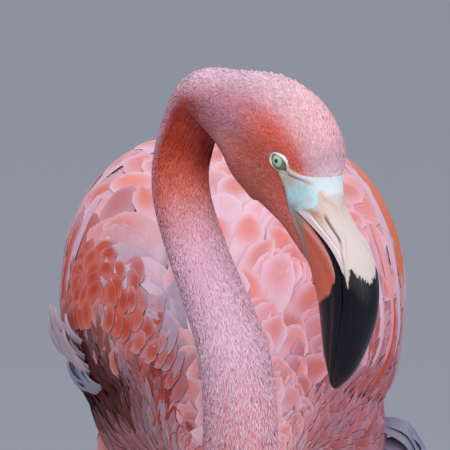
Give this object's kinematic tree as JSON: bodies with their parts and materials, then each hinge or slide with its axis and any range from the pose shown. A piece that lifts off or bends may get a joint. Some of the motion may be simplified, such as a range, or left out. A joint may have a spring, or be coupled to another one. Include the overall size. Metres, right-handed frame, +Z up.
{
  "type": "flamingo",
  "caption": "Life-size standing model of a flamingo at rest: long curved neck, big bent bill, folded wings, thin legs and webbed feet.",
  "frame": {"origin": "on the floor, under the middle of the bird's bounding box", "axes": "+Z up; -Y is the way the bird stands, towards its breast; +X is the bird's left"},
  "size_m": [0.2056, 0.6754, 0.9148],
  "materials": {
    "feathers": "soft overlapping feathers, salmon pink",
    "leg_skin": "pink scaly skin, satin",
    "bill": "smooth horn, satin, cream to black",
    "eye": "wet gloss, pale green iris",
    "claw": "dark horn, satin"
  },
  "bodies": {
    "root": {"ankle_left": "leg_skin", "ankle_right": "leg_skin", "bill_lower": "bill", "bill_upper": "bill", "claw_left_back": "claw", "claw_left_inner": "claw", "claw_left_middle": "claw", "claw_left_outer": "claw", "claw_right_back": "claw", "claw_right_inner": "claw", "claw_right_middle": "claw", "claw_right_outer": "claw", "eye_left": "eye", "eye_right": "eye", "foot_left": "leg_skin", "foot_right": "leg_skin", "head": "feathers", "neck_arch": "feathers", "neck_base": "feathers", "neck_bend": "feathers", "neck_middle": "feathers", "neck_upper": "feathers", "shank_left": "leg_skin", "shank_right": "leg_skin", "shin_left": "leg_skin", "shin_right": "leg_skin", "tail": "feathers", "thigh_left": "feathers", "thigh_right": "feathers", "trunk": "feathers", "wing_left": "feathers", "wing_right": "feathers"}
  },
  "joints": []
}
